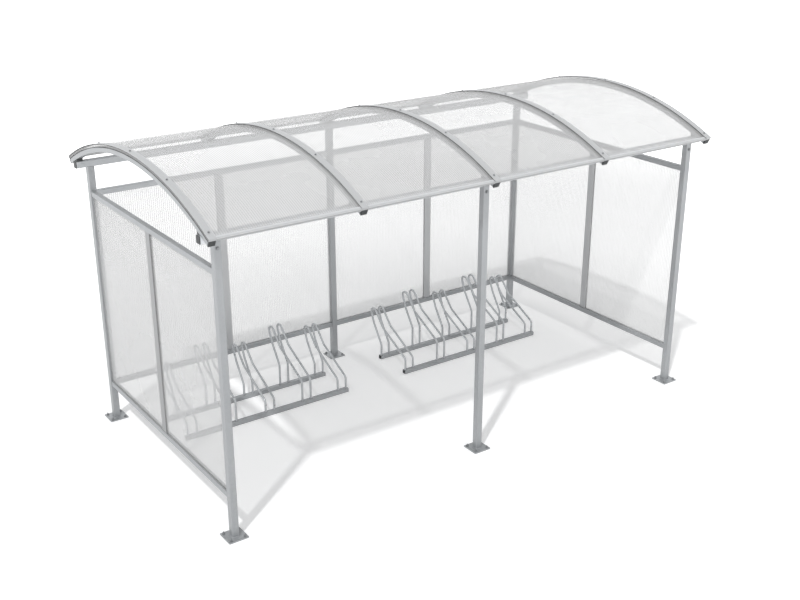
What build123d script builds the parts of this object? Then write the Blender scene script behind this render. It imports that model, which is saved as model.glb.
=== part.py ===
"""Open-fronted cycle shelter with a curved roof, fluted clear walls on three sides and two wheel racks.

Millimetres. X runs along the open front, Y runs from the open front to the back wall, Z is up.
The origin is on the ground under the middle of the shelter. It is built at its real size.
"""
import os
from math import asin, cos, degrees, radians, sin, sqrt

from build123d import *

os.makedirs("parts", exist_ok=True)

# %% Driving dimensions of the frame

# Posts stand on a grid of two bays along the front and one bay deep
bay_length = 2050.0
bay_depth = 2050.0
post_size = 50.0
post_wall = 3.0
post_height = 2065.0
corner_radius = 4.0

# Base plates, one welded under each post
plate_size = 145.0
plate_thickness = 8.0
plate_corner = 6.0
plate_hole_spacing = 105.0
plate_hole_radius = 6.0

# Eave beams lie on the posts and run past the end ones
beam_size = 50.0
beam_wall = 3.0
beam_overhang = 105.0
cap_thickness = 5.0
plug_play = 1.5

# Rails and mullions of the walls
rail_size = 40.0
rail_wall = 2.5
top_rail_drop = 225.0
bottom_rail_base = 287.0
mullion_width = 66.0
mullion_depth = 22.0

# Clear wall sheets, held in slots in the rails and mullions
sheet_thickness = 10.0
sheet_offset = 4.0
sheet_play = 0.4
rail_grip = 14.0
mullion_grip = 26.0

# %% Driving dimensions of the roof

# Arches, as the radius of their underside and their section
arch_radius = 2540.0
arch_width = 45.0
arch_height = 32.0
arch_wall = 2.5
arch_overhang = 77.0
plug_depth = 20.0
plug_flange = 3.0

# Arches are spread evenly between insets at the beams' ends, and each is then shifted a little
arch_inset = 21.0
arch_shifts = (6.0, -5.0, 8.0, -31.0, 0.0)

# What lies on each arch, counted outwards
seal_thickness = 5.0
seal_width = 48.0
roof_sheet_thickness = 16.0
top_seal_thickness = 4.0
cover_thickness = 3.0
cover_width = 52.0
joint_gap = 6.0
trim_wall = 1.5
trim_depth = 14.0
trim_play = 0.2
trim_clearance = 2.0

# %% Driving dimensions of the wheel racks

# One rack stands in the middle of each bay, on two ground rails
rack_rail_width = 40.0
rack_rail_height = 35.0
rack_rail_wall = 2.0
rack_rail_radius = 3.0
rack_rail_spacing = 370.0
rack_back_gap = 282.0
rack_end = 30.0
holder_count = 5
holder_pitch = 340.0
holder_gap = 79.0

# Hoops are bent from one bar. High and low ones differ only in the length of their legs
hoop_radius = 9.0
hoop_bend = 35.0
low_leg = 100.0
high_leg = 180.0
hoop_lean = 342.0
hoop_lean_rise = 172.0
hoop_tip_rise = 307.0
hoop_tip_start = 463.0
hoop_tip_end = 543.0
hoop_return = 482.0
hoop_return_rise = 165.0

# %% Values worked out from the driving dimensions

post_x = (-bay_length, 0.0, bay_length)
front_y = -bay_depth / 2
rear_y = bay_depth / 2
beam_top = post_height + beam_size
beam_length = 2 * (bay_length + beam_overhang)
plug_size = beam_size - 2 * (beam_wall + plug_play)
seat_y = bay_depth / 2 + beam_size / 2
arch_centre_z = beam_top - sqrt(arch_radius**2 - seat_y**2)
arch_angle = degrees(asin((seat_y + arch_overhang) / arch_radius))
arch_end_x = beam_length / 2 - arch_inset
arch_step = 2 * arch_end_x / (len(arch_shifts) - 1)
arch_x = [i * arch_step - arch_end_x + shift for i, shift in enumerate(arch_shifts)]
roof_bays = [right - left for left, right in zip(arch_x, arch_x[1:])]

seal_base = arch_radius + arch_height
roof_sheet_base = seal_base + seal_thickness
top_seal_base = roof_sheet_base + roof_sheet_thickness
cover_base = top_seal_base + top_seal_thickness

top_rail_base = post_height - top_rail_drop
sheet_bottom = bottom_rail_base + rail_size - rail_grip
sheet_top = top_rail_base + rail_grip
clear_depth = bay_depth - post_size
clear_length = bay_length - post_size


# %% Shapes that are used more than once

def square_tube(width, height, wall, radius):
    """Section of a rectangular tube with rounded corners"""
    RectangleRounded(width, height, radius)
    RectangleRounded(width - 2 * wall, height - 2 * wall, max(radius - wall, 0.8), mode=Mode.SUBTRACT)


def arch_band(base, thickness, x, width, angle=arch_angle):
    """A band that follows the arches, from the angle on the front slope to the same angle at the rear"""
    outer = base + thickness
    reach = sin(radians(angle))
    rise = cos(radians(angle))
    with BuildPart() as band:
        with BuildSketch(Plane.YZ.offset(x - width / 2)):
            with BuildLine(Location((0, arch_centre_z))):
                ThreePointArc((-base * reach, base * rise), (0, base), (base * reach, base * rise))
                Line((base * reach, base * rise), (outer * reach, outer * rise))
                ThreePointArc((outer * reach, outer * rise), (0, outer), (-outer * reach, outer * rise))
                Line((-outer * reach, outer * rise), (-base * reach, base * rise))
            make_face()
        extrude(amount=width)
    return band.part


def end_frame(x, radius, side):
    """Plane across the end of an arch at a radius: its Z points out along the arch, its Y away from the centre"""
    angle = radians(arch_angle) * side
    origin = (x, radius * sin(angle), arch_centre_z + radius * cos(angle))
    return Plane(origin=origin, x_dir=(-side, 0, 0), z_dir=(0, side * cos(angle), -side * sin(angle)))


# %% Posts

names = {front_y: "front", rear_y: "rear"}
sides = dict(zip(post_x, ("left", "middle", "right")))
for y in (front_y, rear_y):
    for x in post_x:
        with BuildPart() as post:
            with BuildSketch(Plane.XY.offset(plate_thickness)):
                with Locations((x, y)):
                    square_tube(post_size, post_size, post_wall, corner_radius)
            extrude(amount=post_height - plate_thickness)
        name = f"post_{names[y]}_{sides[x]}"
        post.part.label = name
        export_step(post.part, f"parts/{name}.step")

# %% Base plates, each with four anchor holes

with BuildPart() as base_plates:
    with BuildSketch():
        with Locations(*[(x, y) for x in post_x for y in (front_y, rear_y)]):
            RectangleRounded(plate_size, plate_size, plate_corner)
            with GridLocations(plate_hole_spacing, plate_hole_spacing, 2, 2):
                Circle(plate_hole_radius, mode=Mode.SUBTRACT)
    extrude(amount=plate_thickness)
base_plates.part.label = "base_plates"
export_step(base_plates.part, "parts/base_plates.step")

# %% Eave beams and their end caps

for y in (front_y, rear_y):
    with BuildPart() as beam:
        with BuildSketch(Plane.YZ.offset(-beam_length / 2)):
            with Locations((y, post_height + beam_size / 2)):
                square_tube(beam_size, beam_size, beam_wall, corner_radius)
        extrude(amount=beam_length)
    beam.part.label = f"beam_{names[y]}"
    export_step(beam.part, f"parts/beam_{names[y]}.step")

with BuildPart() as beam_end_caps:
    for side in (-1, 1):
        with BuildSketch(Plane.YZ.offset(side * beam_length / 2)):
            with Locations(*[(y, post_height + beam_size / 2) for y in (front_y, rear_y)]):
                RectangleRounded(beam_size, beam_size, corner_radius)
        extrude(amount=side * cap_thickness)
        with BuildSketch(Plane.YZ.offset(side * beam_length / 2)):
            with Locations(*[(y, post_height + beam_size / 2) for y in (front_y, rear_y)]):
                Rectangle(plug_size, plug_size)
        extrude(amount=-side * plug_depth)
beam_end_caps.part.label = "beam_end_caps"
export_step(beam_end_caps.part, "parts/beam_end_caps.step")

# %% Arches, curved rectangular tubes that lie across the beams

for i, x in enumerate(arch_x):
    with BuildPart() as arch:
        add(arch_band(arch_radius, arch_height, x, arch_width))
        add(
            arch_band(arch_radius + arch_wall, arch_height - 2 * arch_wall, x,
                      arch_width - 2 * arch_wall, arch_angle + 1),
            mode=Mode.SUBTRACT,
        )
    arch.part.label = f"arch_{i + 1}"
    export_step(arch.part, f"parts/arch_{i + 1}.step")

# %% Plugs in the arch ends

with BuildPart() as arch_end_caps:
    for x in arch_x:
        for side in (-1, 1):
            with BuildSketch(end_frame(x, arch_radius + arch_height / 2, side)):
                RectangleRounded(arch_width, arch_height, 2)
            extrude(amount=plug_flange)
            with BuildSketch(end_frame(x, arch_radius + arch_height / 2, side)):
                Rectangle(arch_width - 2 * (arch_wall + plug_play), arch_height - 2 * (arch_wall + plug_play))
            extrude(amount=-plug_depth)
arch_end_caps.part.label = "arch_end_caps"
export_step(arch_end_caps.part, "parts/arch_end_caps.step")

# %% Wedges that fill the tapering gap between each beam and each arch

with BuildPart() as arch_wedges:
    for x in arch_x:
        with BuildSketch(Plane.YZ.offset(x - arch_width / 2)):
            with Locations((front_y, beam_top + beam_size / 2), (rear_y, beam_top + beam_size / 2)):
                Rectangle(beam_size, beam_size)
            with Locations((0, arch_centre_z)):
                Circle(arch_radius, mode=Mode.INTERSECT)
        extrude(amount=arch_width)
arch_wedges.part.label = "arch_wedges"
export_step(arch_wedges.part, "parts/arch_wedges.step")

# %% Seals under and over the roof sheets, and the cover strips that clamp them

with BuildPart() as roof_seals:
    for x in arch_x:
        add(arch_band(seal_base, seal_thickness, x, seal_width))
roof_seals.part.label = "roof_seals"
export_step(roof_seals.part, "parts/roof_seals.step")

with BuildPart() as top_seals:
    for x in arch_x:
        add(arch_band(top_seal_base, top_seal_thickness, x, seal_width))
top_seals.part.label = "top_seals"
export_step(top_seals.part, "parts/top_seals.step")

with BuildPart() as cover_strips:
    for x in arch_x:
        add(arch_band(cover_base, cover_thickness, x, cover_width))
cover_strips.part.label = "cover_strips"
export_step(cover_strips.part, "parts/cover_strips.step")

# %% Curved roof sheets, each clamped along two arches

for i in range(len(roof_bays)):
    left = arch_x[i] + joint_gap / 2 if i else arch_x[i] - arch_width / 2
    right = arch_x[i + 1] - joint_gap / 2 if i < len(roof_bays) - 1 else arch_x[i + 1] + arch_width / 2
    sheet = arch_band(roof_sheet_base, roof_sheet_thickness, (left + right) / 2, right - left)
    sheet.label = f"roof_sheet_{i + 1}"
    export_step(sheet, f"parts/roof_sheet_{i + 1}.step")

# %% Channels that close the front and rear ends of the roof sheets

trim_height = roof_sheet_thickness + 2 * (trim_wall + trim_play)
with BuildPart() as roof_trims:
    for i, bay in enumerate(roof_bays):
        x = arch_x[i] + bay / 2
        width = bay - cover_width - 2 * trim_clearance
        for side in (-1, 1):
            frame = end_frame(x, roof_sheet_base + roof_sheet_thickness / 2, side)
            with BuildSketch(frame):
                Rectangle(width, trim_height)
            extrude(amount=trim_wall)
            for shift in (-1, 1):
                with BuildSketch(frame):
                    with Locations((0, shift * (trim_height - trim_wall) / 2)):
                        Rectangle(width, trim_wall)
                extrude(amount=-trim_depth)
roof_trims.part.label = "roof_trims"
export_step(roof_trims.part, "parts/roof_trims.step")

# %% Slotted rails of the three walls

walls = {
    "left": [(Plane(origin=(-bay_length, 0, 0), x_dir=(0, -1, 0), z_dir=(-1, 0, 0)), clear_depth)],
    "right": [(Plane(origin=(bay_length, 0, 0), x_dir=(0, 1, 0), z_dir=(1, 0, 0)), clear_depth)],
    "rear": [
        (Plane(origin=(x, rear_y, 0), x_dir=(-1, 0, 0), z_dir=(0, 1, 0)), clear_length)
        for x in (-bay_length / 2, bay_length / 2)
    ],
}


def rail_section(base, opening):
    """Tube section with a slot for the sheet, on the top (1) or the underside (-1)"""
    with Locations((0, base + rail_size / 2)):
        square_tube(rail_size, rail_size, rail_wall, corner_radius)
    slot_height = 2 * rail_wall
    with Locations((sheet_offset, base + rail_size / 2 + opening * (rail_size - rail_wall) / 2)):
        Rectangle(sheet_thickness + 2 * sheet_play, slot_height, mode=Mode.SUBTRACT)


for kind, base, opening in (("top_rail", top_rail_base, -1), ("bottom_rail", bottom_rail_base, 1)):
    for wall, bays in walls.items():
        with BuildPart() as rail:
            for plane, length in bays:
                start = plane.origin + plane.x_dir * (length / 2)
                with BuildSketch(Plane(origin=start, x_dir=plane.z_dir, z_dir=-plane.x_dir)):
                    rail_section(base, opening)
                extrude(amount=length)
        rail.part.label = f"{kind}_{wall}"
        export_step(rail.part, f"parts/{kind}_{wall}.step")

# %% Mullions, upright joints between two sheets

mullion_base = bottom_rail_base + rail_size
mullion_length = top_rail_base - mullion_base
for wall, bays in walls.items():
    with BuildPart() as mullion:
        for plane, length in bays:
            foot = plane.origin + Vector(0, 0, mullion_base) + plane.z_dir * sheet_offset
            with BuildSketch(Plane(origin=foot, x_dir=plane.x_dir, z_dir=(0, 0, 1))):
                RectangleRounded(mullion_width, mullion_depth, 2)
                for side in (-1, 1):
                    with Locations((side * (mullion_width - mullion_grip) / 2, 0)):
                        Rectangle(mullion_grip, sheet_thickness + 2 * sheet_play, mode=Mode.SUBTRACT)
            extrude(amount=mullion_length)
    mullion.part.label = f"mullion_{wall}"
    export_step(mullion.part, f"parts/mullion_{wall}.step")

# %% Clear wall sheets, two to a bay

for wall, bays in walls.items():
    with BuildPart() as sheets:
        for plane, length in bays:
            web = mullion_width - 2 * mullion_grip
            width = (length - web) / 2
            for side in (-1, 1):
                with BuildSketch(plane.offset(sheet_offset - sheet_thickness / 2)):
                    with Locations((side * (web + width) / 2, (sheet_top + sheet_bottom) / 2)):
                        Rectangle(width, sheet_top - sheet_bottom)
                extrude(amount=sheet_thickness)
    sheets.part.label = f"wall_sheets_{wall}"
    export_step(sheets.part, f"parts/wall_sheets_{wall}.step")

# %% Wheel racks: two ground rails each

rack_x = {"left": -bay_length / 2, "right": bay_length / 2}
rack_rear_y = rear_y - post_size / 2 - rack_back_gap
rack_front_y = rack_rear_y - rack_rail_spacing
rack_length = (holder_count - 1) * holder_pitch + holder_gap + rack_end
for name, centre in rack_x.items():
    with BuildPart() as rails:
        with BuildSketch(Plane.YZ.offset(centre - rack_length / 2)):
            with Locations((rack_front_y, rack_rail_height / 2), (rack_rear_y, rack_rail_height / 2)):
                square_tube(rack_rail_width, rack_rail_height, rack_rail_wall, rack_rail_radius)
        extrude(amount=rack_length)
    rails.part.label = f"rack_{name}_rails"
    export_step(rails.part, f"parts/rack_{name}_rails.step")

# %% Wheel holders: pairs of bent hoops that lean back over the rear rail, low and high in turn


def hoop(x, leg):
    """One bent bar: up from the front rail, back to its rounded tip, then forward and down to the rear rail"""
    bend = rack_rail_height + leg
    points = [
        (rack_front_y, rack_rail_height),
        (rack_front_y, bend),
        (rack_front_y + hoop_lean, bend + hoop_lean_rise),
        (rack_front_y + hoop_tip_start, bend + hoop_tip_rise),
        (rack_front_y + hoop_tip_end, bend + hoop_tip_rise),
        (rack_front_y + hoop_return, bend + hoop_return_rise),
        (rack_rear_y, bend),
        (rack_rear_y, rack_rail_height),
    ]
    with BuildPart() as bar:
        with BuildLine(Plane.YZ.offset(x)) as path:
            FilletPolyline(*points, radius=hoop_bend)
        with BuildSketch(Plane.XY.offset(rack_rail_height)):
            with Locations((x, rack_front_y)):
                Circle(hoop_radius)
        sweep(path=path.wires()[0])
    return bar.part


for name, centre in rack_x.items():
    for i in range(holder_count):
        middle = centre + (i - (holder_count - 1) / 2) * holder_pitch
        leg = high_leg if i % 2 else low_leg
        with BuildPart() as holder:
            for side in (-1, 1):
                add(hoop(middle + side * holder_gap / 2, leg))
        holder.part.label = f"rack_{name}_holder_{i + 1}"
        export_step(holder.part, f"parts/rack_{name}_holder_{i + 1}.step")
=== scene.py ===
# %% [markdown]
# # A cycle shelter in zinc and clear sheet
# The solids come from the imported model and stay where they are. This lesson gives each of them its finish
# and adds what is too fine for them: the webs inside the clear sheets, the drip edge of the roof, the
# screws, the bolts, the anchors and the welds. Everything is in metres. The origin is on the ground under
# the middle of the shelter, X runs along the open front, Y runs to the rear wall and Z is up.

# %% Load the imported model
from math import asin, cos, pi, radians, sin, sqrt

import bmesh
import bpy
from mathutils import Matrix, Vector


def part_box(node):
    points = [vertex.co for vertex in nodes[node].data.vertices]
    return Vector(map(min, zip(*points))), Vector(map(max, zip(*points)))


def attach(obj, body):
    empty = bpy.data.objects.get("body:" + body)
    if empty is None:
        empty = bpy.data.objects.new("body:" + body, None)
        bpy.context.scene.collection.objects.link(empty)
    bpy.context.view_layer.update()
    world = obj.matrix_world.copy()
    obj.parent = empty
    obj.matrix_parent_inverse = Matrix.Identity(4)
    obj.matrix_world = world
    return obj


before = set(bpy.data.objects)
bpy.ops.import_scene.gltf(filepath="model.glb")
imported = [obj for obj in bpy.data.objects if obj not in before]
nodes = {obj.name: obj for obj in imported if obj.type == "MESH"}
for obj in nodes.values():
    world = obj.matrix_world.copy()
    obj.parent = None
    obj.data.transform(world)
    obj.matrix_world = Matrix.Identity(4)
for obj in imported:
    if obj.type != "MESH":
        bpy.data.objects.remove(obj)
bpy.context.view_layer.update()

# %% [markdown]
# The camera stands at the front left, above head height, and looks down along the shelter. Its place was
# worked out from the straight edges of the posts, rails and beams, so the render lines up with the
# photograph. A 50 mm lens keeps the perspective gentle. A camera that isn't turned looks straight down, so
# 90 degrees about X make it level, less the tilt. A ray crosses many webs on its way through a sheet, so
# more clear surfaces than usual are allowed.

# %% Camera
camera_place = (-4.7286, -6.7571, 4.1992)
camera_tilt = 21.98
camera_turn = 35.009
camera_data = bpy.data.cameras.new("camera")
camera_data.lens = 50
camera_data.sensor_width = 36
camera_data.clip_end = 400
camera = bpy.data.objects.new("camera", camera_data)
camera.location = camera_place
camera.rotation_euler = (radians(90 - camera_tilt), 0, -radians(camera_turn))
bpy.context.collection.objects.link(camera)
scene = bpy.context.scene
scene.camera = camera
scene.view_settings.view_transform = "Standard"
scene.cycles.transparent_max_bounces = 32
print("camera", tuple(round(v, 2) for v in camera.location))

# %% [markdown]
# Every finish below is a small network of shader nodes. Written out one node at a time it would fill pages,
# so three short classes help. The first one, `Wire`, wraps one socket of a node. Sums on it add Math nodes,
# so a mask reads as an expression, such as `1 - mask`.

# %% Wires


class Wire:
    """One socket of a network. Sums on it add Math nodes"""

    def __init__(self, network, socket):
        self.network = network
        self.socket = socket

    def maths(self, operation, *values):
        return self.network.add("ShaderNodeMath", {"operation": operation}, values)

    def __add__(self, other):
        return self.maths("ADD", self, other)

    def __sub__(self, other):
        return self.maths("SUBTRACT", self, other)

    def __rsub__(self, other):
        return self.maths("SUBTRACT", other, self)

    def __mul__(self, other):
        return self.maths("MULTIPLY", self, other)

    def between(self, low, high):
        """0 below low, 1 above high and smooth between them"""
        settings = {"interpolation_type": "SMOOTHSTEP"}
        values = {"Value": self, "From Min": low, "From Max": high}
        return self.network.add("ShaderNodeMapRange", settings, values)

    def sine(self):
        return self.maths("SINE", self)

    def largest(self, other):
        return self.maths("MAXIMUM", self, other)

    __radd__ = __add__
    __rmul__ = __mul__


print("made the class", Wire.__name__)

# %% [markdown]
# A `Network` holds the nodes of a material or of the sky. Its method `add` makes any node: its type, then
# its settings, then the values or links of its sockets. A link is a `Wire`, and a value is a plain number or
# colour. `seen` tells rays that look at the background from rays that carry light to the shelter.

# %% Networks


class Network:
    """The shader nodes of a material or of the sky"""

    def __init__(self, owner):
        owner.use_nodes = True
        self.tree = owner.node_tree
        self.tree.nodes.clear()

    def add(self, kind, settings=None, values=None, output=0):
        """Adds a node: its settings first, then the values or links of its sockets"""
        node = self.tree.nodes.new(kind)
        for key, setting in (settings or {}).items():
            setattr(node, key, setting)
        pairs = values.items() if isinstance(values, dict) else enumerate(values or ())
        for key, value in pairs:
            if isinstance(value, Wire):
                self.tree.links.new(value.socket, node.inputs[key])
            else:
                node.inputs[key].default_value = value
        return Wire(self, node.outputs[output]) if node.outputs else None

    def seen(self):
        """1 for rays that look at the background, 0 for those that light the object"""
        names = ("Is Camera Ray", "Is Glossy Ray", "Is Transmission Ray")
        camera_ray, shiny_ray, clear_ray = [self.add("ShaderNodeLightPath", output=name) for name in names]
        return camera_ray.largest(shiny_ray).largest(clear_ray)


print("made the class", Network.__name__)

# %% [markdown]
# One soft sun comes from the front left and from high up. Its direction was read from the shadow of the
# front left post: a point 1 m up throws its shadow 0.52 m along X and 0.37 m along Y. A pale sky fills the
# rest. It is brighter to look at than the light that it gives, as in a photograph with a white background.

# %% Light
sun_energy = 1.45
sun_width = 2.2
shadow_of_a_metre = (0.517, 0.368)
sky_colour = (0.985, 0.993, 1.0, 1)
sky_light = 0.63
sky_look = 1.05

sun_data = bpy.data.lights.new("sun", "SUN")
sun_data.energy = sun_energy
sun_data.angle = radians(sun_width)
sun = bpy.data.objects.new("sun", sun_data)
sun.rotation_euler = Vector((*shadow_of_a_metre, -1)).to_track_quat("-Z", "Y").to_euler()
bpy.context.collection.objects.link(sun)

scene.world = bpy.data.worlds.new("sky")
sky = Network(scene.world)
sky_strength = sky.seen() * (sky_look - sky_light) + sky_light
background = sky.add("ShaderNodeBackground", None, {"Color": sky_colour, "Strength": sky_strength})
sky.add("ShaderNodeOutputWorld", None, {0: background})
print("sun", sun_energy, "sky", sky_light)

# %% [markdown]
# A `Finish` is the network of a material. It starts from the place on the object, which is in metres here,
# so the scale of a noise is about the number of its lumps in a metre. The methods are the few patterns that
# all the finishes share, and `surface` ends the network.

# %% Finishes


class Finish(Network):
    """A material that is built from nodes"""

    def __init__(self, name):
        self.material = bpy.data.materials.new(name)
        super().__init__(self.material)
        self.place = self.add("ShaderNodeTexCoord", output="Object")

    def stretched(self, x, y, z):
        """The place on the object, scaled along each axis"""
        return self.add("ShaderNodeVectorMath", {"operation": "MULTIPLY"}, {0: self.place, 1: (x, y, z)})

    def noise(self, scale, detail, where=None):
        values = {"Vector": where or self.place, "Scale": scale, "Detail": detail}
        return self.add("ShaderNodeTexNoise", None, values)

    def cells(self, scale):
        """Random grey for each crystal of a cell pattern"""
        colour = self.add("ShaderNodeTexVoronoi", None, {"Vector": self.place, "Scale": scale}, "Color")
        return self.add("ShaderNodeSeparateColor", None, {0: colour})

    def blend(self, mask, first, second):
        """Goes from the first colour to the second as the mask goes from 0 to 1"""
        # A Mix node numbers the sockets for colours 6 and 7, and its colour output 2
        return self.add("ShaderNodeMix", {"data_type": "RGBA"}, {0: mask, 6: first, 7: second}, 2)

    def bump(self, height, strength, distance):
        values = {"Height": height, "Strength": strength, "Distance": distance}
        return self.add("ShaderNodeBump", None, values, "Normal")

    def surface(self, **values):
        """Ends the network in a Principled shader. Words in a socket's name are joined by an underscore"""
        named = {key.replace("_", " "): value for key, value in values.items()}
        shader = self.add("ShaderNodeBsdfPrincipled", None, named)
        self.add("ShaderNodeOutputMaterial", None, {0: shader})
        print("finish", self.material.name, "of", len(self.tree.nodes), "nodes")
        return self.material


def tint(tone, shares=(1, 1, 1)):
    """Colour of a grey tone, with its share of red, green and blue"""
    return [tone * share for share in shares] + [1]


print("made the class", Finish.__name__, "and a middle grey", tint(0.5))

# %% [markdown]
# The floor is plain and pale. The photograph shows it white, with the soft shadows of the posts, the beams
# and the roof, so its own colour is a pale grey and a little light is added only for what looks at it: the
# camera, and rays that come off metal or pass through the sheets. That light grows in two steps with the
# distance from the shelter's middle. It is faint where the shadows fall, stronger where the floor is seen
# through the walls and strongest far behind, where it is seen through the roof.

# %% Floor
floor_reach = 90
near_glow = 0.19
middle_glow = 0.43
far_glow = 0.74
middle_ring = (2.4, 4.8)
far_ring = (6.8, 9.3)

floor_finish = Finish("floor")
pale = floor_finish.add("ShaderNodeBsdfDiffuse", None, {"Color": tint(0.93)})
distance = floor_finish.add("ShaderNodeVectorMath", {"operation": "LENGTH"}, {0: floor_finish.place}, "Value")
first_step = distance.between(*middle_ring) * (middle_glow - near_glow)
second_step = distance.between(*far_ring) * (far_glow - middle_glow)
floor_strength = floor_finish.seen() * (first_step + second_step + near_glow)
glow = floor_finish.add("ShaderNodeEmission", None, {"Strength": floor_strength})
lit = floor_finish.add("ShaderNodeAddShader", None, {0: pale, 1: glow})
floor_finish.add("ShaderNodeOutputMaterial", None, {0: lit})

mesh = bpy.data.meshes.new("floor")
corners = [(x * floor_reach, y * floor_reach, 0) for x, y in ((-1, -1), (1, -1), (1, 1), (-1, 1))]
mesh.from_pydata(corners, [], [(0, 1, 2, 3)])
floor = bpy.data.objects.new("floor", mesh)
floor.data.materials.append(floor_finish.material)
bpy.context.collection.objects.link(floor)
print("floor", floor.dimensions[:])

# %% [markdown]
# Hot-dip zinc is a dull grey with a faint blue cast. Each crystal of the coating has its own grey, the bath
# leaves runs and clouds, and the surface is slightly lumpy. Cells give the crystals, and noises of
# different size give the clouds, the runs and the lumps. A run hangs down, so its noise is stretched along
# Z.

# %% Zinc
zinc_dark = (0.84, 0.865, 0.89)
zinc_light = (1.06, 1.09, 1.115)


def zinc_finish(name, tone, roughness=0.48):
    """Galvanised steel in a grey tone"""
    zinc = Finish(name)
    crystals = zinc.cells(scale=70.0)
    clouds = zinc.noise(scale=2.6, detail=5.0)
    runs = zinc.noise(scale=9.0, detail=4.0, where=zinc.stretched(1.0, 1.0, 0.22))
    lumps = zinc.noise(scale=55.0, detail=4.0)
    # Each noise lies round 0.5, and its factor says how much of it shows
    grey = (crystals - 0.5) * 0.30 + (clouds - 0.5) * 0.9 + (runs - 0.5) * 0.5 + 0.5
    return zinc.surface(
        Base_Color=zinc.blend(grey.between(0.0, 1.0), tint(tone, zinc_dark), tint(tone, zinc_light)),
        Metallic=0.6,
        Roughness=roughness + (crystals - 0.5) * 0.16 + (clouds - 0.5) * 0.2,
        Normal=zinc.bump(lumps + crystals * 0.35, strength=0.22, distance=0.0008),
    )


zinc = zinc_finish("zinc", tone=0.42)
rack_zinc = zinc_finish("rack_zinc", tone=0.41, roughness=0.42)
arch_zinc = zinc_finish("arch_zinc", tone=0.43)
# Painted light: the rear beam and the rail below it get a lighter tone, which makes up for the roof's shade
# over them
rear_beam_painted_light_zinc = zinc_finish("rear_beam_painted_light_zinc", tone=0.53)
# Painted highlight: the wheel holders get a lighter tone that stands for the highlights on their bars
holder_painted_highlight_zinc = zinc_finish("holder_painted_highlight_zinc", tone=0.56, roughness=0.36)
# Painted light: the front beam gets a lighter tone still, which makes up for the roof's shade over it
front_beam_painted_light_zinc = zinc_finish("front_beam_painted_light_zinc", tone=0.78)

# %% [markdown]
# Zinc is one finish here, in a few tones. The posts, the plates, the arches and most rails are darkest, the
# rear beam and the rail below it a little lighter, and the front beam and the wheel holders lighter still.
# These lighter tones are painted light: on the beams and the rear rail they make up for the shade of the roof
# over them, and on the wheel holders they stand for the highlights along their bars. So each group of solids
# gets its own tone of the finish. A group is picked by how its nodes' names start.

# %% Steel parts


def dress(material, *names):
    """Gives the material to every node whose name starts with one of the names"""
    for name, node in nodes.items():
        if name.startswith(names):
            node.data.materials.clear()
            node.data.materials.append(material)
            dressed.add(name)


dressed = set()
dress(zinc, "post_", "base_plates", "top_rail_left", "top_rail_right", "bottom_rail")
dress(rear_beam_painted_light_zinc, "beam_rear", "top_rail_rear")
dress(front_beam_painted_light_zinc, "beam_front")
dress(rack_zinc, "rack_left_rails", "rack_right_rails")
dress(holder_painted_highlight_zinc, "rack_left_holder", "rack_right_holder")
dress(arch_zinc, "arch_1", "arch_2", "arch_3", "arch_4", "arch_5")
print("dressed", len(dressed))

# %% [markdown]
# The cover strips, the mullions and the end channels are drawn aluminium. Drawing leaves fine lines along the
# profile and a silky shine, so a noise is squeezed across the profile and left long along it. The left
# mullion has a darker tone than the others. This is painted shade, which holds back the sun that falls on its
# outer face. The foil tape on the channels has the same shine.

# %% Aluminium
drawn_dark = (0.88, 0.895, 0.91)
drawn_light = (1.05, 1.06, 1.07)
lines_in_a_metre = 220.0


def aluminium_finish(name, tone, along, metallic, roughness):
    """Drawn aluminium whose lines run along an axis"""
    bright = Finish(name)
    squeeze = [1.0 if axis == along else lines_in_a_metre for axis in "xyz"]
    lines = bright.noise(scale=1.0, detail=2.0, where=bright.stretched(*squeeze))
    clouds = bright.noise(scale=3.0, detail=4.0)
    shade = (lines - 0.5) * 0.5 + (clouds - 0.5) * 0.3 + 0.5
    return bright.surface(
        Base_Color=bright.blend(shade.between(0.1, 0.9), tint(tone, drawn_dark), tint(tone, drawn_light)),
        Metallic=metallic,
        Roughness=roughness + (lines - 0.5) * 0.2,
        Normal=bright.bump(lines, strength=0.12, distance=0.0003),
    )


cover_aluminium = aluminium_finish("cover_aluminium", tone=0.56, along="y", metallic=0.35, roughness=0.42)
channel_aluminium = aluminium_finish("channel_aluminium", tone=0.66, along="x", metallic=0.35, roughness=0.42)
tape_aluminium = aluminium_finish("tape_aluminium", tone=0.50, along="x", metallic=0.35, roughness=0.5)
mullion_aluminium = aluminium_finish("mullion_aluminium", tone=0.56, along="z", metallic=0.5, roughness=0.45)
# Painted shade: the left mullion gets a darker tone, which holds back the sun on its outer face
left_mullion_painted_shade_aluminium = aluminium_finish("left_mullion_painted_shade_aluminium", tone=0.36, along="z", metallic=0.5, roughness=0.45)
dress(cover_aluminium, "cover_strips")
dress(channel_aluminium, "roof_trims")
dress(mullion_aluminium, "mullion_rear", "mullion_right")
dress(left_mullion_painted_shade_aluminium, "mullion_left")
print("dressed", len(dressed))

# %% [markdown]
# Plugs and wedges are black moulded plastic with a fine spark texture. The seals are black rubber, matt and
# a little dusty on top. Both are a fine grain in the shine and a pale dust in the colour, so one function
# makes them.

# %% Plastic and rubber


def moulded_finish(name, dark, dusty, roughness):
    """Moulded plastic or rubber with a fine grain and some dust"""
    moulded = Finish(name)
    grain = moulded.noise(scale=900.0, detail=2.0)
    dust = moulded.noise(scale=14.0, detail=4.0)
    return moulded.surface(
        Base_Color=moulded.blend(dust.between(0.35, 0.8), dark, dusty),
        Roughness=roughness + (grain - 0.5) * 0.2,
        Normal=moulded.bump(grain, strength=0.25, distance=0.0003),
    )


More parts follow.
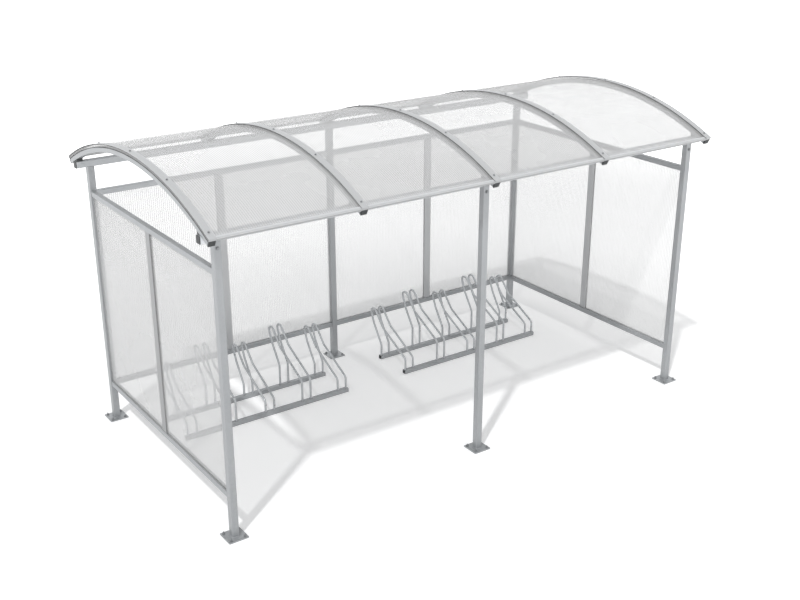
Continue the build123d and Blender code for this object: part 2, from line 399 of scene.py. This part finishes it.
plastic_colours = {"dark": (0.035, 0.038, 0.04, 1), "dusty": (0.075, 0.08, 0.082, 1)}
rubber_colours = {"dark": (0.05, 0.052, 0.055, 1), "dusty": (0.12, 0.12, 0.12, 1)}
black_plastic = moulded_finish("black_plastic", roughness=0.5, **plastic_colours)
rubber = moulded_finish("rubber", roughness=0.8, **rubber_colours)
dress(black_plastic, "beam_end_caps", "arch_end_caps", "arch_wedges")
dress(rubber, "roof_seals", "top_seals")
print("dressed", len(dressed))

# %% [markdown]
# The clear sheets are multiwall: two thin skins with a web every 16 mm. The skins are milky, so a part of
# the light passes straight through and a part is scattered. The Alpha of the skin sets how much, and faint
# clouds and a fine ripple along the webs keep it from looking like flat glass.

# %% Skins of the clear sheets
web_pitch = 0.0162


def skin_finish(name, veil, tone, across):
    """Milky skin. The ripple follows the webs, which are spaced along an axis"""
    skin = Finish(name)
    along = skin.add("ShaderNodeSeparateXYZ", None, {0: skin.place}, across.upper())
    wave = (along * (2 * pi / web_pitch)).sine()
    clouds = skin.noise(scale=1.3, detail=4.0)
    return skin.surface(
        Base_Color=skin.blend(clouds.between(0.3, 0.7), tint(tone * 0.96), tint(tone)),
        Roughness=0.22 + clouds * 0.1,
        Alpha=veil + (clouds - 0.5) * 0.05 + wave * 0.055,
        Normal=skin.bump(wave, strength=0.35, distance=0.0004),
    )


roof_skin = skin_finish("roof_skin", veil=0.425, tone=0.66, across="x")
# The three walls are one sheet. Their tones differ as painted light and shade: the rear and right skins are
# lighter, which makes up for the roof's shade inside, and the left skin is darker, which holds back the sun
# on its outside.
rear_wall_painted_light_skin = skin_finish("rear_wall_painted_light_skin", veil=0.29, tone=0.90, across="x")
left_wall_painted_shade_skin = skin_finish("left_wall_painted_shade_skin", veil=0.29, tone=0.79, across="y")
right_wall_painted_light_skin = skin_finish("right_wall_painted_light_skin", veil=0.29, tone=0.92, across="y")
dress(roof_skin, "roof_sheet")
dress(rear_wall_painted_light_skin, "wall_sheets_rear")
dress(left_wall_painted_shade_skin, "wall_sheets_left")
dress(right_wall_painted_light_skin, "wall_sheets_right")
print("dressed", len(dressed), "left", sorted(set(nodes) - dressed))

# %% [markdown]
# Some nodes hold several solids, such as the sheets of one wall or the six base plates. New pieces go to
# each of them, so their places are measured and not typed in. A solid is a set of points that are joined by
# edges, and is found by walking from one point to its neighbours until none is left.

# %% Boxes of separate solids


def islands(name):
    """Lowest and highest corner of each separate solid in a node"""
    shape = bmesh.new()
    shape.from_mesh(nodes[name].data)
    bmesh.ops.remove_doubles(shape, verts=shape.verts, dist=1e-5)
    left = set(shape.verts)
    boxes = []
    while left:
        stack = [left.pop()]
        found = list(stack)
        while stack:
            vert = stack.pop()
            near = {edge.other_vert(vert) for edge in vert.link_edges} & left
            left -= near
            stack.extend(near)
            found.extend(near)
        places = [vert.co for vert in found]
        boxes.append([[pick(p[axis] for p in places) for axis in range(3)] for pick in (min, max)])
    shape.free()
    return sorted(boxes)


plates = islands("base_plates")
print("plates", len(plates), "first", plates[0])

# %% [markdown]
# A new piece starts as a bmesh, which collects all its parts and then becomes one object, because hundreds
# of small objects would be slow.

# %% New pieces


def add_piece(name, shape, material, smooth=False):
    """Makes an object of a bmesh, gives it its finish and fixes it to the shelter"""
    data = bpy.data.meshes.new(name)
    shape.to_mesh(data)
    shape.free()
    data.materials.append(material)
    for face in data.polygons:
        face.use_smooth = smooth
    piece = bpy.data.objects.new(name, data)
    bpy.context.collection.objects.link(piece)
    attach(piece, "root")
    print("piece", name, "with", len(data.polygons), "faces")


def add_box(shape, low, high):
    """Adds a box between two corners"""
    size = [high[i] - low[i] for i in range(3)]
    middle = [(high[i] + low[i]) / 2 for i in range(3)]
    bmesh.ops.create_cube(shape, size=1, matrix=Matrix.Translation(middle) @ Matrix.Diagonal((*size, 1)))


# %% [markdown]
# The webs are real shapes here, because they give the sheet its lines, and the sheet turns greyer where it
# is seen at a slant. Each is a thin upright strip between the skins, one pitch from the next.

# %% Webs of the wall sheets
web_thickness = 0.0011
skin_thickness = 0.0006


def web_finish(name, veil, tone):
    """Milky edge of a web"""
    web = Finish(name)
    clouds = web.noise(scale=5.0, detail=3.0)
    return web.surface(
        Base_Color=web.blend(clouds, tint(tone * 0.94), tint(tone)),
        Roughness=0.3 + clouds * 0.1,
        Alpha=veil + (clouds - 0.5) * 0.06,
    )


def web_places(low, high):
    """Middles of the webs between two ends, one pitch apart"""
    count = int((high - low) / web_pitch)
    return [(high + low) / 2 + (i - count / 2) * web_pitch for i in range(count + 1)]


wall_web = web_finish("wall_web", veil=0.14, tone=0.76)
for wall, along, through in (("left", 1, 0), ("right", 1, 0), ("rear", 0, 1)):
    webs = bmesh.new()
    for low, high in islands("wall_sheets_" + wall):
        for middle in web_places(low[along], high[along]):
            start = list(low)
            end = list(high)
            start[along] = middle - web_thickness / 2
            end[along] = middle + web_thickness / 2
            start[through] += skin_thickness
            end[through] -= skin_thickness
            add_box(webs, start, end)
    add_piece("webs_" + wall, webs, wall_web)

# %% [markdown]
# The roof is curved to the arches, so everything on it is a thin band round the arches' centre. The centre
# lies below the ground: the arches' underside rests on the outer top edges of the two beams, and the rear
# beam's box gives the height of that edge. What lies on the arches is counted outwards from there: arch,
# seal, sheet, seal and cover strip.

# %% Curve of the roof
arch_radius = 2.54
arch_overhang = 0.077
arch_height = 0.032
seal_thickness = 0.005
sheet_thickness = 0.016
top_seal_thickness = 0.004
cover_thickness = 0.003

low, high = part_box("beam_rear")
seat = high[1]
beam_top = high[2]
centre_z = beam_top - sqrt(arch_radius**2 - seat**2)
arch_reach = asin((seat + arch_overhang) / arch_radius)
sheet_base = arch_radius + arch_height + seal_thickness
sheet_top = sheet_base + sheet_thickness
cover_base = sheet_top + top_seal_thickness
cover_top = cover_base + cover_thickness


def around(radius, angle, x):
    """Point on the arches' curve"""
    return Vector((x, radius * sin(angle), centre_z + radius * cos(angle)))


def add_band(shape, x, width, inner, outer, start=-arch_reach, end=arch_reach, steps=28):
    """Adds a closed band that follows the arches from one angle to another"""
    corners = ((inner, -1), (outer, -1), (outer, 1), (inner, 1))
    rings = []
    for i in range(steps + 1):
        angle = start + (end - start) * i / steps
        points = [around(radius, angle, x + side * width / 2) for radius, side in corners]
        rings.append([shape.verts.new(point) for point in points])
    for first, second in zip(rings, rings[1:]):
        for i in range(4):
            shape.faces.new((first[i], first[i - 1], second[i - 1], second[i]))
    shape.faces.new(rings[0])
    shape.faces.new(rings[-1][::-1])


print("top of the roof", around(cover_top, 0, 0)[2])

# %% [markdown]
# The webs of the roof sheets run from the front edge to the rear edge, along the curve. A flat strip bent
# round the arches stays upright between the skins, so each web is one band.

# %% Webs of the roof sheets
roof_web = web_finish("roof_web", veil=0.06, tone=0.8)
for bay in range(1, 5):
    low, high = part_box(f"roof_sheet_{bay}")
    webs = bmesh.new()
    for x in web_places(low[0], high[0]):
        add_band(webs, x, web_thickness, sheet_base + skin_thickness, sheet_top - skin_thickness)
    bmesh.ops.recalc_face_normals(webs, faces=webs.faces)
    add_piece(f"webs_roof_{bay}", webs, roof_web)

# %% [markdown]
# The roof runs a little past the ends of the arches, front and rear. That last bit is made here: the nose
# of the end channel, a strip of foil tape on it, and the tip of each cover strip, which turns down over the
# joint between two sheets. A black cap closes the joint behind the tip. Each is a short band, and its ends
# are lengths past the arch, measured along its underside.

# %% Drip edge of the roof
nose_start = 0.0018
nose_end = 0.0103
edge_end = 0.0115
cap_start = 0.0032
cap_rise = 0.042
cap_width = 0.046
cap_play = 0.002
cover_width = 0.052
tip_thickness = 0.0015


def add_ends(shape, x, width, inner, outer, start, end):
    """Adds a short band past both ends of the arches, from one length past them to another"""
    for side in (-1, 1):
        angles = [side * (arch_reach + length / arch_radius) for length in (start, end)]
        add_band(shape, x, width, inner, outer, *angles, steps=1)


arch_x = [sum(corner[0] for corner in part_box(f"arch_{i}")) / 2 for i in range(1, 6)]
cap_top = arch_radius + cap_rise
noses, tapes, tips, joint_caps = [bmesh.new() for piece in range(4)]
for first, second in zip(arch_x, arch_x[1:]):
    middle = (first + second) / 2
    width = second - first - cap_width - cap_play
    add_ends(noses, middle, width, sheet_base, sheet_top, nose_start, nose_end)
    add_ends(tapes, middle, width, sheet_base, sheet_top, nose_end, edge_end)
for x in arch_x:
    add_ends(tips, x, cover_width, cover_base, cover_top, 0, edge_end)
    add_ends(tips, x, cover_width, cap_top, cover_base, edge_end - tip_thickness, edge_end)
    add_ends(joint_caps, x, cap_width, arch_radius, cap_top, cap_start, edge_end)
for shape in (noses, tapes, tips, joint_caps):
    bmesh.ops.recalc_face_normals(shape, faces=shape.faces)
add_piece("channel_noses", noses, channel_aluminium)
add_piece("nose_tapes", tapes, tape_aluminium)
add_piece("cover_tips", tips, cover_aluminium)
add_piece("joint_caps", joint_caps, black_plastic)

# %% [markdown]
# A row of self-drilling screws holds each cover strip down, with a hexagon head on a rubber-backed washer.
# The photograph shows them as small dark points at even steps along the arch. Head and washer are turned
# from an outline of radius and height, the head with six sides. The screw is then placed along the curve,
# each time standing square to the strip.

# %% Screws of the cover strips
screw_angles = [radians(angle) for angle in (-25.3, -12.5, 0.0, 12.5, 25.3)]


def add_turned(shape, outline, matrix, sides):
    """Adds a solid turned from an outline of radius and height"""
    turns = [2 * pi * i / sides for i in range(sides)]
    rings = []
    for radius, height in outline:
        places = [Vector((radius * cos(turn), radius * sin(turn), height)) for turn in turns]
        rings.append([shape.verts.new(matrix @ place) for place in places])
    for first, second in zip(rings, rings[1:]):
        for i in range(sides):
            shape.faces.new((first[i - 1], first[i], second[i], second[i - 1]))
    shape.faces.new(rings[0][::-1])
    shape.faces.new(rings[-1])


def add_screw(shape, matrix, width, height, washer):
    """Adds a hexagon head with a round washer under it, standing along the matrix's Z"""
    flange = [(washer * 0.92, 0), (washer, 0.0006), (washer, 0.0016), (washer * 0.9, 0.0022)]
    add_turned(shape, flange, matrix, sides=24)
    corner = width * 0.577
    head = [(width * 0.52, 0.002), (corner, 0.0026), (corner, height * 0.86), (width * 0.5, height)]
    add_turned(shape, head, matrix, sides=6)


screw_steel = zinc_finish("screw_steel", tone=0.30, roughness=0.38)
screws = bmesh.new()
for x in arch_x:
    for angle in screw_angles:
        place = Matrix.Translation(around(cover_top, angle, x)) @ Matrix.Rotation(-angle, 4, "X")
        add_screw(screws, place, width=0.010, height=0.0075, washer=0.008)
add_piece("cover_screws", screws, screw_steel)

# %% [markdown]
# A bolt near the top of each post ties it to the tube that is welded under the beam. Its head shows on the
# outer face, just below the beam, so the screw is laid on its side: to the front on the front posts and to
# the rear on the others.

# %% Bolts of the posts
bolt_height = 2.022
post_bolts = bmesh.new()
for row, out in (("front", -1), ("rear", 1)):
    for spot in ("left", "middle", "right"):
        low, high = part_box(f"post_{row}_{spot}")
        face = low[1] if out < 0 else high[1]
        place = Matrix.Translation(((low[0] + high[0]) / 2, face, bolt_height))
        lying = Matrix.Rotation(-out * pi / 2, 4, "X")
        add_screw(post_bolts, place @ lying, width=0.016, height=0.010, washer=0.0125)
add_piece("post_bolts", post_bolts, screw_steel)

# %% [markdown]
# Each base plate is held down by four anchors. A threaded rod stands up through a washer and a nut, and is
# cut off a little above it. The thread is far too fine to see, so the rod is plain, with a small chamfer.

# %% Anchors of the base plates
hole_spacing = 0.105
rod_outline = [(0.0047, 0.0095), (0.005, 0.0105), (0.005, 0.0165), (0.0042, 0.0175)]
anchors = bmesh.new()
for low, high in plates:
    for side_x in (-1, 1):
        for side_y in (-1, 1):
            x = (low[0] + high[0] + side_x * hole_spacing) / 2
            y = (low[1] + high[1] + side_y * hole_spacing) / 2
            place = Matrix.Translation((x, y, high[2]))
            add_screw(anchors, place, width=0.017, height=0.0105, washer=0.012)
            add_turned(anchors, rod_outline, place, sides=16)
add_piece("anchors", anchors, screw_steel)

# %% [markdown]
# The posts are welded to their plates. A weld bead is a row of small overlapping scales, so it is a tube
# with a ripple along it, laid round the foot of the post. The path is a square with round corners, like the
# post.

# %% Welds at the feet of the posts
bead_radius = 0.0034
bead_ripple = 0.18
bead_sides = 8
bead_rise = 0.0005
ripple_turn = 2.1
point_step = 0.0035


def add_bead(shape, path):
    """Adds a closed ring of weld along a path of points"""
    rings = []
    count = len(path)
    turns = [2 * pi * i / bead_sides for i in range(bead_sides)]
    for i, point in enumerate(path):
        ahead = (path[(i + 1) % count] - path[i - 1]).normalized()
        side = ahead.cross(Vector((0, 0, 1))).normalized()
        size = bead_radius * (1 + bead_ripple * sin(i * ripple_turn))
        places = [point + size * (side * cos(turn) + Vector((0, 0, sin(turn)))) for turn in turns]
        rings.append([shape.verts.new(place) for place in places])
    for i in range(count):
        for j in range(bead_sides):
            shape.faces.new((rings[i - 1][j - 1], rings[i][j - 1], rings[i][j], rings[i - 1][j]))


def square_path(x, y, z, half, corner):
    """Points round a square with rounded corners"""
    points = []
    for turn in range(4):
        along = Vector((cos(turn * pi / 2), sin(turn * pi / 2), 0))
        out = Vector((along.y, -along.x, 0))
        straight = half - corner
        count = int(2 * straight / point_step)
        points += [out * half + along * (straight * (2 * i / count - 1)) for i in range(count)]
        pivot = out * straight + along * straight
        points += [pivot + corner * (out * cos(a) + along * sin(a)) for a in (0.0, pi / 6, pi / 3)]
    return [Vector((x, y, z)) + point for point in points]


welds = bmesh.new()
for low, high in plates:
    middle = [(low[axis] + high[axis]) / 2 for axis in range(2)]
    add_bead(welds, square_path(*middle, high[2] + bead_rise, half=0.0258, corner=0.005))
bmesh.ops.recalc_face_normals(welds, faces=welds.faces)
add_piece("post_welds", welds, zinc, smooth=True)
